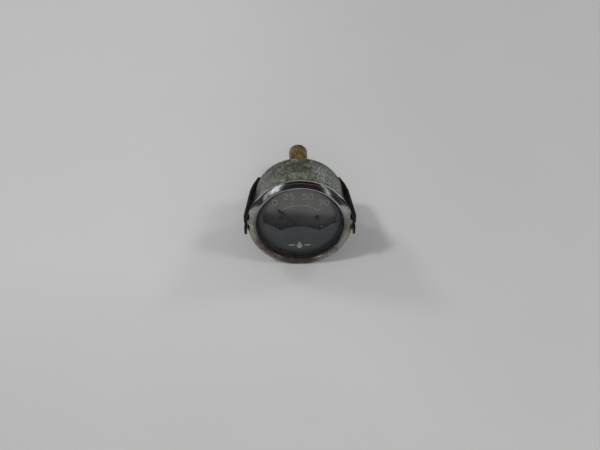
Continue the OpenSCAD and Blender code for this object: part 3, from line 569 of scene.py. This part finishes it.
def window_glass():
    """Flat glass: clear, with a mirror's sheen that grows at a slant, and a little dust."""
    f = Finish("window_glass")
    sheen = f.node("ShaderNodeFresnel")
    sheen.inputs["IOR"].default_value = 1.22
    dust = f.times(f.level(f.noise(5, 6, 0.7), 0.42, 0.75), 0.008)
    f.wear(
        Base_Color=f.mix(f.level(f.noise(2, 4), 0.3, 0.7), (0.97, 0.98, 0.98), (0.93, 0.95, 0.95)),
        Metallic=1.0,
        Roughness=f.level(f.noise(4, 5, 0.7), 0.4, 0.8, 0.01, 0.06),
        Alpha=f.plus(sheen.outputs["Fac"], dust),
    )
    return f.material


def table_card():
    """Pale card with painted shade, darker to the right and near the camera as in the photo."""
    f = Finish("table_card")
    cloudy = f.mix(f.noise(60, 4), (0.494, 0.495, 0.491), (0.475, 0.477, 0.473))
    # Painted shade: darker to the right and near the camera.
    right = f.along("X", -120, 130, 0.02, 0.15)
    near = f.along("Y", 50, -140, 0, 0.14)
    grain = f.noise(2.5, 4, 0.6)
    f.wear(
        Base_Color=f.mix(f.most(right, near), cloudy, (0, 0, 0)),
        Roughness=f.level(grain, 0.3, 0.7, 0.85, 0.95),
        Specular_IOR_Level=0.2,
    )
    return f.material


def dark_felt():
    """Dark cloth of the strip that the chrome reflects."""
    f = Finish("dark_felt")
    f.wear(Base_Color=f.mix(f.noise(3, 3), (0.034, 0.032, 0.038), (0.052, 0.048, 0.055)), Roughness=0.95)
    return f.material


chrome = polished_chrome()
zinc = mottled_zinc()
old_brass = tarnished_brass()
plate_brass = cut_brass("plate_brass", (0.66, 0.5, 0.22), (0.25, 1, 1))
turned_brass = cut_brass("turned_brass", (0.7, 0.54, 0.25), (1, 0.25, 1))
tube_brass = cut_brass("tube_brass", (0.62, 0.42, 0.2), (1, 1, 1))
nut_brass = cut_brass("nut_brass", (0.42, 0.32, 0.15), (1, 0.4, 1))
screw_steel = plain_steel("screw_steel", (0.42, 0.41, 0.39))
black_screw = screw_steel_painted_glint()
arbor_steel = plain_steel("arbor_steel", (0.6, 0.6, 0.6), 0.15, 0.3)
washer_steel = plain_steel("washer_steel", (0.46, 0.45, 0.43), 0.35, 0.55)
nut_steel = spotted_steel()
blued_steel = plain_steel("blued_steel", (0.1, 0.14, 0.3), 0.2, 0.35)
black_steel = rusted_black_steel()
dial_paint = shaded_dial_paint()
mask_paint = flat_paint("mask_paint", (0.069, 0.073, 0.08), (0.06, 0.064, 0.071), 0.45, 0.6, 0.25, 0.85)
shade_paint = flat_paint("shade_paint", (0.008, 0.008, 0.009), (0.005, 0.005, 0.006), 0.55, 0.75, 0.15)
spacer_paint = flat_paint("spacer_paint", (0.02, 0.02, 0.021), (0.014, 0.014, 0.014), 0.5, 0.7)
peg_paint = flat_paint("peg_paint", (0.03, 0.03, 0.031), (0.022, 0.022, 0.023), 0.5, 0.7, 0.1)
scale_print = faded_print("scale_print", (0.34, 0.34, 0.32), 0.4)
symbol_print = faded_print("symbol_print", (0.43, 0.43, 0.43), 0.2)
pointer_paint = faded_red()
rubber = soft_rubber()
fibre = red_fibre()
glass = window_glass()


# Shapes: points nearer than a gap in mm are welded, and faces within an angle in degrees count as flat

weld_gap = 0.0005
cad_weld_gap = 0.001
flat_angle = 0.6


def spun(points, steps):
    """A solid of revolution about the gauge's axis, from the (radius, depth) points of its section in mm."""
    bm = bmesh.new()
    corners = [bm.verts.new((r * MM, y * MM, 0)) for r, y in points]
    for i, corner in enumerate(corners):
        if points[i][0] + points[i - 1][0] > 0:
            bm.edges.new((corner, corners[i - 1]))
    bmesh.ops.spin(
        bm,
        geom=bm.verts[:] + bm.edges[:],
        axis=(0, 1, 0),
        cent=(0, 0, 0),
        steps=steps,
        angle=math.tau,
        use_merge=True,
    )
    return bm


def softened(points, passes=2, share=0.25):
    """An outline with its corners cut again and again, so that it runs smoothly."""
    for _ in range(passes):
        cut = [points[0]]
        for a, b in zip(points, points[1:]):
            cut.append((a[0] + (b[0] - a[0]) * share, a[1] + (b[1] - a[1]) * share))
            cut.append((b[0] + (a[0] - b[0]) * share, b[1] + (a[1] - b[1]) * share))
        cut.append(points[-1])
        points = cut
    return points


def arc(centre, r, start, end, steps):
    """Points on an arc, with its angles in degrees."""
    angles = [math.radians(start + (end - start) * i / steps) for i in range(steps + 1)]
    return [(centre[0] + r * math.cos(a), centre[1] + r * math.sin(a)) for a in angles]


def meshed(bm, name, material):
    """A bmesh made into a mesh with its material, and freed."""
    mesh = bpy.data.meshes.new(name)
    bm.to_mesh(mesh)
    bm.free()
    mesh.materials.append(material)
    return mesh


def finished(bm, name, material, body, replaced, sharp=32):
    """A bmesh made into a piece in the place of CAD nodes, that rides on a body; given anything else, its
    place is only baked in.
    """
    bmesh.ops.remove_doubles(bm, verts=bm.verts, dist=weld_gap * MM)
    bmesh.ops.recalc_face_normals(bm, faces=bm.faces)
    mesh = meshed(bm, name, material)
    mesh.shade_smooth()
    mesh.set_sharp_from_angle(angle=math.radians(sharp))
    piece = placed(name, mesh)
    if isinstance(body, str):
        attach(piece, body)
    else:
        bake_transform(piece)
    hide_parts(*replaced)


def eased(node, width, material, body, segments=2, sharp=32, bend=28):
    """A CAD node's shape with its doubles merged, its flat faces whole and its corners rounded."""
    bm = bmesh.new()
    bm.from_mesh(nodes[node].data)
    bmesh.ops.remove_doubles(bm, verts=bm.verts, dist=cad_weld_gap * MM)
    bmesh.ops.dissolve_limit(bm, angle_limit=math.radians(flat_angle), verts=bm.verts, edges=bm.edges)
    corners = [e for e in bm.edges if len(e.link_faces) == 2 and e.calc_face_angle(0) > math.radians(bend)]
    bmesh.ops.bevel(
        bm,
        geom=corners,
        offset=width * MM,
        offset_type="OFFSET",
        affect="EDGES",
        segments=segments,
        profile=0.5,
        material=-1,
        clamp_overlap=True,
    )
    finished(bm, node + "_piece", material, body, [node], sharp)


# Bezel: one ring of chromed sheet, rolled in over the glass and behind the case's flange

crest_w = 0.6
crest_r = lip_r + crest_w
crest_y = front + 0.02
seat_y = bezel_high.y
rolled_gap = 0.35
rolled_r = case_r + rolled_gap
rolled_round_r = 0.2
rolled_round_y = 0.15
bezel_steps = 200
lip_points = [
    (lip_r, glass_low.y),
    (lip_r + 0.02, front + 0.45),
    (lip_r + 0.15, front + 0.2),
    (crest_r - 0.15, crest_y),
    (crest_r + 0.2, crest_y),
    (crest_r + 0.6, front + 0.12),
]
rim_points = [
    (rim_r - 1.6, rim_y - 0.98),
    (rim_r - 0.6, rim_y - 0.58),
    (rim_r - 0.2, rim_y - 0.36),
    (rim_r - 0.02, rim_y - 0.14),
    (rim_r, rim_y),
    (rim_r - 0.12, rim_y + 0.27),
]
back_points = [
    (cavity_r + 0.9, rim_y + 0.95),
    (cavity_r + 0.42, flange_back),
    (cavity_r + rolled_round_r, seat_y - rolled_round_y),
    (cavity_r - rolled_round_r, seat_y),
]
inside_points = [
    (rolled_r + rolled_round_r, seat_y),
    (rolled_r, seat_y - rolled_round_y),
    (rolled_r, flange_back),
    (cavity_r, flange_back),
    (cavity_r, glass_low.y),
]
bezel = spun(softened(lip_points + rim_points + back_points) + inside_points, bezel_steps)
finished(bezel, "bezel_ring", chrome, "root", ["bezel"], 50)

# Case: one deep-drawn cup with its flange

corner_at = (case_r - case_corner, case_high.y - case_corner)
flange_r = case_high.x
flange_round = 0.3
flange_round_middle = 0.08
hole_gap = 0.15
hole_r = stem_high.x + hole_gap
hole_chamfer = 0.15
case_steps = 180
case_points = (
    [
        (case_r - case_sheet, case_low.y),
        (flange_r, case_low.y),
        (flange_r, flange_back),
        (case_r + flange_round, flange_back),
        (case_r + flange_round_middle, flange_back + flange_round_middle),
        (case_r, flange_back + flange_round),
    ]
    + arc(corner_at, case_corner, 0, 90, 8)
    + [
        (hole_r + hole_chamfer, case_high.y),
        (hole_r, case_high.y - hole_chamfer),
        (hole_r, case_high.y - case_sheet),
    ]
    + arc(corner_at, case_corner - case_sheet, 90, 0, 5)
)
finished(spun(case_points, case_steps), "case_cup", zinc, "root", ["case"], 40)

# Stem: shank, threaded length and plain spigot, bored from its end

pitch = 1.25
thread_turns = 19.4
thread_depth = 0.61 * pitch
crest = stem_high.x
root_r = crest - thread_depth
thread_start = case_high.y - case_sheet
shank_r = 4.0
shank_start = stem_low.y
shank_chamfer = 0.2
spigot_len = 21.5
spigot_step = 0.15
spigot_r = crest - spigot_step
spigot_start = stem_high.y - spigot_len
spigot_cone = 0.4
spigot_cone_r = spigot_r - 0.2
tip_arc = 0.9
passage_r = 1.2
bore_r = 2.0
bore_depth = 25
bore_end = stem_high.y - bore_depth
bore_mouth = 1.5
bore_step = 0.4
stem_steps = 96
stem_points = (
    [
        (passage_r, shank_start),
        (shank_r - shank_chamfer, shank_start),
        (shank_r, shank_start + shank_chamfer),
        (shank_r, thread_start),
        (root_r, thread_start),
        (root_r, spigot_start - spigot_cone),
        (spigot_cone_r, spigot_start),
        (spigot_r, spigot_start + spigot_cone),
    ]
    + arc((spigot_r - tip_arc, stem_high.y - tip_arc), tip_arc, 0, 90, 8)
    + [
        (bore_r + bore_mouth, stem_high.y),
        (bore_r, stem_high.y - bore_mouth),
        (bore_r, bore_end),
        (passage_r, bore_end - bore_step),
    ]
)
stem = spun(stem_points, stem_steps)


def thread(start, turns, steps=40):
    """A helical ridge, made by turning its section, that sinks into the stem at both ends."""
    half_foot = 0.44 * pitch
    half_top = 0.07 * pitch
    foot_r = root_r - 0.12
    sunk_r = root_r - 0.05
    bm = bmesh.new()
    section = [(foot_r, -half_foot), (crest, -half_top), (crest, half_top), (foot_r, half_foot)]
    corners = [bm.verts.new(Vector((r, start + along, 0)) * MM) for r, along in section]
    for i, corner in enumerate(corners):
        bm.edges.new((corners[i - 1], corner))
    bmesh.ops.spin(
        bm,
        geom=bm.verts[:] + bm.edges[:],
        axis=(0, 1, 0),
        cent=(0, 0, 0),
        dvec=(0, pitch * MM / steps, 0),
        steps=round(turns * steps),
        angle=math.tau * turns,
    )
    bmesh.ops.holes_fill(bm, edges=[e for e in bm.edges if e.is_boundary])
    finish = start + turns * pitch
    for vert in bm.verts:
        along = vert.co.y / MM
        from_start = max(0, along - start + half_foot)
        to_finish = max(0, finish + half_foot - along)
        share = min(1, from_start / pitch, to_finish / pitch)
        r = math.hypot(vert.co.x, vert.co.z) / MM
        shrunk = min(r, sunk_r + (crest - sunk_r) * share) / r
        vert.co.x *= shrunk
        vert.co.z *= shrunk
    return bm


ridge = thread(case_high.y, thread_turns)
ridge_mesh = meshed(ridge, "ridge", old_brass)
stem.from_mesh(ridge_mesh)
finished(stem, "stem_bar", old_brass, "root", ["stem"], 35)

# Glass: a flat disc with ground edges

glass_r = glass_high.x
ground = 0.15
pane_steps = 128
pane_points = [
    (0, glass_low.y),
    (glass_r - ground, glass_low.y),
    (glass_r, glass_low.y + ground),
    (glass_r, glass_high.y - ground),
    (glass_r - ground, glass_high.y),
    (0, glass_high.y),
]
finished(spun(pane_points, pane_steps), "glass_pane", glass, "root", ["glass"])

# Pieces seen through the glass

eased("shade_ring", 0.05, shade_paint, "root")
eased("dial_mask", 0.06, mask_paint, "root")
eased("dial_plate", 0.05, dial_paint, "root")
eased("dial_screws", 0.12, black_screw, "root")
eased("stop_pegs", 0.15, peg_paint, "root", segments=3)
eased("pointer", 0.06, pointer_paint, "pointer_arbor")
eased("glass_gasket", 0.08, rubber, "root")
eased("dial_spacer", 0.05, spacer_paint, "root")

# Pressure tube: it bends from its top to its free end, which the tip block carries; its piece is only baked
# in place, not bent

bend_start_x = 2
tip_depth = 1.2
bend_start = Vector((bend_start_x, tube_low.y, 0)) * MM
bend_end = Vector((tube_high.x - tip_depth, tube_low.y, 0)) * MM
tube_bend = ("root", "tube_tip", bend_start, bend_end)
eased("bourdon_tube", 0.04, tube_brass, tube_bend)

# Clamp, nuts and washers

eased("clamp_strap", 0.25, black_steel, "clamp", segments=3, sharp=45, bend=50)
eased("case_washer", 0.15, washer_steel, "root")
eased("case_nut", 0.15, nut_brass, "root")
eased("spring_washer", 0.1, black_steel, "clamp")
eased("clamp_nut", 0.15, nut_steel, "clamp_nut")

# CAD nodes whose shape is right

for name, material in {
    "mask_symbol": symbol_print,
    "dial_scale": scale_print,
    "dial_figures": scale_print,
    "pointer_arbor": arbor_steel,
    "drive_pinion": turned_brass,
    "hairspring": blued_steel,
    "hairspring_collet": turned_brass,
    "hairspring_stud": turned_brass,
    "front_plate": plate_brass,
    "rear_plate": plate_brass,
    "movement_pillars": turned_brass,
    "pillar_screws": screw_steel,
    "block_screws": screw_steel,
    "sector_gear": plate_brass,
    "sector_arbor": arbor_steel,
    "sector_pin": arbor_steel,
    "link": plate_brass,
    "tip_block": turned_brass,
    "tip_pin": arbor_steel,
    "socket_block": turned_brass,
    "block_gasket": fibre,
}.items():
    mesh = nodes[name].data
    if not mesh.materials:
        mesh.materials.append(material)
    for i in range(len(mesh.materials)):
        mesh.materials[i] = material


def laid(bm, name, material):
    """A stage piece built on level ground, laid on the table's level."""
    bmesh.ops.rotate(bm, verts=bm.verts, cent=(0, 0, 0), matrix=table_turn)
    bmesh.ops.translate(bm, verts=bm.verts, vec=table_touch)
    return placed(name, meshed(bm, name, material))


# Table

table_reach = 4000
table = bmesh.new()
bmesh.ops.create_grid(table, x_segments=1, y_segments=1, size=table_reach * MM)
table_top = laid(table, "table", table_card())

# Dark strip round the table, seen only in reflections: tallest in front, lowest at the sides

strip_r = 190
strip_side_height = 45
strip_front_height = 330
strip_back_height = 245
strip_steps = 144
front_half_angle = 42
front_fade_angle = 14
back_start_angle = 80
back_fade_angle = 20

strip = bmesh.new()
bmesh.ops.create_cone(strip, segments=strip_steps, radius1=strip_r * MM, radius2=strip_r * MM, depth=1)
bmesh.ops.translate(strip, verts=strip.verts, vec=(0, 0, 0.5))
for vert in strip.verts:
    from_front = math.degrees(math.atan2(abs(vert.co.x), -vert.co.y))
    in_front = min(1, max(0, (front_half_angle - from_front) / front_fade_angle))
    behind = min(1, max(0, (from_front - back_start_angle) / back_fade_angle))
    front_part = (strip_front_height - strip_side_height) * in_front
    back_part = (strip_back_height - strip_side_height) * behind
    vert.co.z *= (strip_side_height + front_part + back_part) * MM
dark_strip = laid(strip, "dark_strip", dark_felt())
dark_strip.visible_camera = False
dark_strip.visible_diffuse = False
dark_strip.visible_shadow = False
dark_strip.visible_transmission = False

# Room: camera, gloss and glass see it pale, and it lights the gauge from a bright ceiling over dark walls

pale_room = (0.55, 0.555, 0.55, 1)
room_levels = [(0.0, 0.04), (0.3, 0.07), (0.5, 0.2), (0.66, 0.42), (1.0, 0.52)]
room_blue = 1.02

world = bpy.data.worlds.new("room")
bpy.context.scene.world = world
world.use_nodes = True
room = world.node_tree
height = room.nodes.new("ShaderNodeVectorMath")
height.operation = "DOT_PRODUCT"
room.links.new(room.nodes.new("ShaderNodeTexCoord").outputs["Generated"], height.inputs[0])
height.inputs[1].default_value = table_up
walls = room.nodes.new("ShaderNodeValToRGB")
room.links.new(height.outputs["Value"], walls.inputs["Fac"])
while len(walls.color_ramp.elements) < len(room_levels):
    walls.color_ramp.elements.new(0.5)
for mark, (position, glow) in zip(walls.color_ramp.elements, room_levels):
    mark.position = position
    mark.color = (glow, glow, glow * room_blue, 1)
path = room.nodes.new("ShaderNodeLightPath")
looked_at = path.outputs["Is Camera Ray"]
for kind in ("Is Glossy Ray", "Is Transmission Ray"):
    either = room.nodes.new("ShaderNodeMath")
    either.operation = "MAXIMUM"
    room.links.new(looked_at, either.inputs[0])
    room.links.new(path.outputs[kind], either.inputs[1])
    looked_at = either.outputs["Value"]
pale = room.nodes.new("ShaderNodeMix")
pale.data_type = "RGBA"
room.links.new(looked_at, pale.inputs["Factor"])
room.links.new(walls.outputs["Color"], pale.inputs["A"])
pale.inputs["B"].default_value = pale_room
room.links.new(pale.outputs["Result"], room.nodes["Background"].inputs["Color"])


def lamp(name, kind, aim, distance, target=(0, 0, 0), **settings):
    """A lamp that shines on a point from a direction given as right, back and up of the table, in mm."""
    data = bpy.data.lights.new(name, kind)
    for key, value in settings.items():
        setattr(data, key, value)
    made = placed(name, data)
    source = (table_side * aim[0] + table_depth * aim[1] + table_up * aim[2]).normalized()
    made.location = (Vector(target) + source * distance) * MM
    made.rotation_mode = "QUATERNION"
    made.rotation_quaternion = source.to_track_quat("Z", "Y")
    return made


# Four lamps as in the photo's four shadows: degrees round from the back, degrees up, strength, degrees wide

lamp_away = 1000
for name, turned, raised, strength, width in (
    ("left_lamp", -109, 55, 1.2, 9),
    ("right_lamp", 107, 47, 0.55, 12),
    ("far_right_lamp", 60, 36, 0.45, 11),
    ("far_left_lamp", -60, 36, 0.6, 10),
):
    sideways = math.sin(math.radians(turned)) * math.cos(math.radians(raised))
    backwards = math.cos(math.radians(turned)) * math.cos(math.radians(raised))
    upwards = math.sin(math.radians(raised))
    aim = (sideways, backwards, upwards)
    sun = lamp(name, "SUN", aim, lamp_away, energy=strength, angle=math.radians(width))
    sun.visible_glossy = False
fill_aim = (0.05, -0.85, 0.5)
fill_wide = 600
front_fill = lamp("front_fill", "AREA", fill_aim, lamp_away, shape="DISK", size=fill_wide * MM, energy=2.5)
front_fill.visible_glossy = False

# Windows: small tinted panes that only the chrome reflects, each placed for one highlight on its band.
# Degrees round the band, slope of the band there, width and height in mm, glow, tint

band_r = rim_r - 1.8
band_y = front + 0.7
window_away = 170
for name, round_band, tilt, wide, tall, glow, tint in (
    ("window_a", -24, 21, 12, 60, 1.3, (0.9, 0.97, 1.0)),
    ("window_b", -30, 21, 12, 60, 1.6, (0.97, 1.0, 1.0)),
    ("window_c", -41, 19, 9, 50, 0.8, (1.0, 0.93, 0.97)),
    ("window_d", 31, 19, 9, 90, 0.9, (0.95, 1.0, 0.96)),
):
    turn = math.radians(round_band)
    slope = math.radians(tilt)
    face = Vector((math.sin(slope) * math.sin(turn), -math.cos(slope), math.sin(slope) * math.cos(turn)))
    highlight = Vector((band_r * math.sin(turn), band_y, band_r * math.cos(turn)))
    seen = (camera_place - highlight).normalized()
    sent = face * 2 * face.dot(seen) - seen
    aim = (sent.dot(table_side), sent.dot(table_depth), sent.dot(table_up))
    window = lamp(name, "AREA", aim, window_away, highlight, shape="RECTANGLE")
    window.data.size = wide * MM
    window.data.size_y = tall * MM
    window.data.energy = glow * math.pi * window.data.size * window.data.size_y
    window.data.color = tint
    window.visible_diffuse = False
    window.visible_camera = False

bpy.context.scene.view_settings.view_transform = "Standard"
